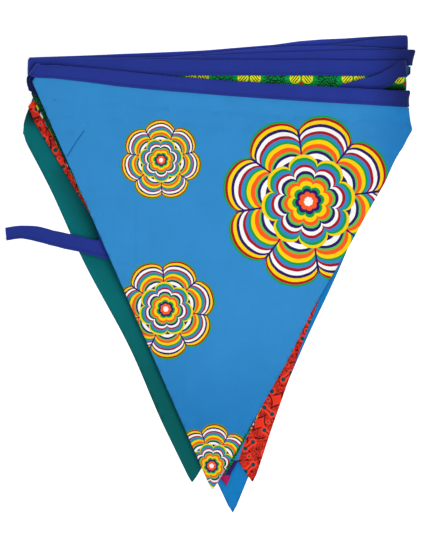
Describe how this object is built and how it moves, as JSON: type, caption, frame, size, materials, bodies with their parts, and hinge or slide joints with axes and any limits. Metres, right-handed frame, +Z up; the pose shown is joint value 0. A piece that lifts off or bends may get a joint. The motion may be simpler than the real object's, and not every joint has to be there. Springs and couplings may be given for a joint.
{
  "type": "flag bunting",
  "caption": "Folded string of triangular cotton flags on a sewn binding with a free tie end, laid flat as a stack, for decorating.",
  "frame": {"origin": "middle of the stack's underside, on the surface that it lies on", "axes": "+X to the right along the binding, +Y from the flags' tips towards the binding, +Z up from the surface"},
  "size_m": [0.259, 0.301, 0.0275],
  "materials": {
    "binding": "matte royal blue cotton binding",
    "flag_1_print": "matte printed cotton, light blue ground",
    "flag_2_green": "matte printed cotton, green ground",
    "flag_3_print": "matte printed cotton, blue ground",
    "flag_4_red": "matte printed cotton, red ground",
    "flag_5_blue": "matte plain light blue cotton",
    "flag_6_teal": "matte plain teal cotton"
  },
  "bodies": {
    "root": {"binding": "binding", "flag_1_print": "flag_1_print", "flag_2_green": "flag_2_green", "flag_3_print": "flag_3_print", "flag_4_red": "flag_4_red", "flag_5_blue": "flag_5_blue", "flag_6_teal": "flag_6_teal"}
  },
  "joints": []
}
